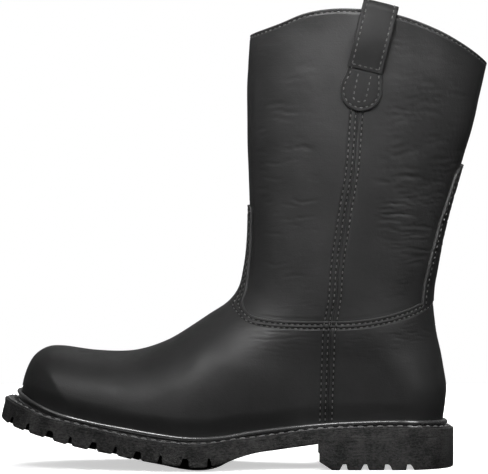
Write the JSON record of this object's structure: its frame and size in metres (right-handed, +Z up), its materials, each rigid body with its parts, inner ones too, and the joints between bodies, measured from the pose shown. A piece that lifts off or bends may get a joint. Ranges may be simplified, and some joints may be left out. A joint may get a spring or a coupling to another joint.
{
  "type": "steel toe work boot",
  "caption": "Left pull-on leather work boot with a steel toe cap, storm welt, lug outsole, separate heel block, pull straps and a removable footbed.",
  "frame": {"origin": "under the middle of the boot, on the surface that it stands on", "axes": "+Z up, +Y towards the heel, -Y towards the toe, +X towards the outer (lateral) side"},
  "size_m": [0.1192, 0.3454, 0.3277],
  "materials": {
    "leather": "smooth oiled full-grain black leather, semi-matte",
    "lining": "woven tan lining cloth",
    "rubber": "matte black moulded rubber",
    "welt": "satin black storm welt with a glossy bead",
    "thread": "waxed light grey thread",
    "steel": "pressed steel, dull",
    "gasket": "soft foam rubber strip",
    "stiffener": "moulded thermoplastic sheet",
    "tape": "woven reinforcement tape",
    "board": "fibre board",
    "cork": "granulated cork paste",
    "foam": "open-cell polyurethane foam",
    "cover": "knitted footbed cover cloth"
  },
  "bodies": {
    "foot": {"vamp": "leather", "heel_counter": "leather", "vamp_lining": "lining", "heel_lining": "lining", "steel_toe_cap": "steel", "toe_cap_gasket": "gasket", "heel_stiffener": "stiffener", "outsole": "rubber", "heel_block": "rubber", "heel_nail_1": "steel", "heel_nail_2": "steel", "heel_nail_3": "steel", "heel_nail_4": "steel", "heel_nail_5": "steel", "midsole": "rubber", "welt": "welt", "welt_stitching": "thread", "cork_filler": "cork", "steel_shank": "steel", "insole_board": "board"},
    "shaft": {"shaft_front": "leather", "shaft_back": "leather", "backstay": "leather", "shaft_lining_front": "lining", "shaft_lining_back": "lining", "lateral_seam_tape": "tape", "lateral_pull_strap": "leather", "lateral_strap_tab": "leather", "medial_seam_tape": "tape", "medial_pull_strap": "leather", "medial_strap_tab": "leather"},
    "footbed": {"footbed": "foam", "footbed_cover": "cover"}
  },
  "joints": [
    {"name": "ankle_flex", "type": "hinge", "parent": "foot", "child": "shaft", "pos_m": [0.0023, 0.0654, 0.108], "axis": [1, 0, 0], "range_deg": [-10, 20], "stiffness_Nm_per_rad": 6, "deforming": ["vamp", "heel_counter", "vamp_lining", "heel_lining", "shaft_front", "shaft_back", "shaft_lining_front", "shaft_lining_back", "backstay", "lateral_seam_tape", "medial_seam_tape"]},
    {"name": "footbed_lift", "type": "hinge", "parent": "foot", "child": "footbed", "pos_m": [0.0023, -0.1506, 0.05], "axis": [1, 0, 0], "range_deg": [0, 8]}
  ]
}
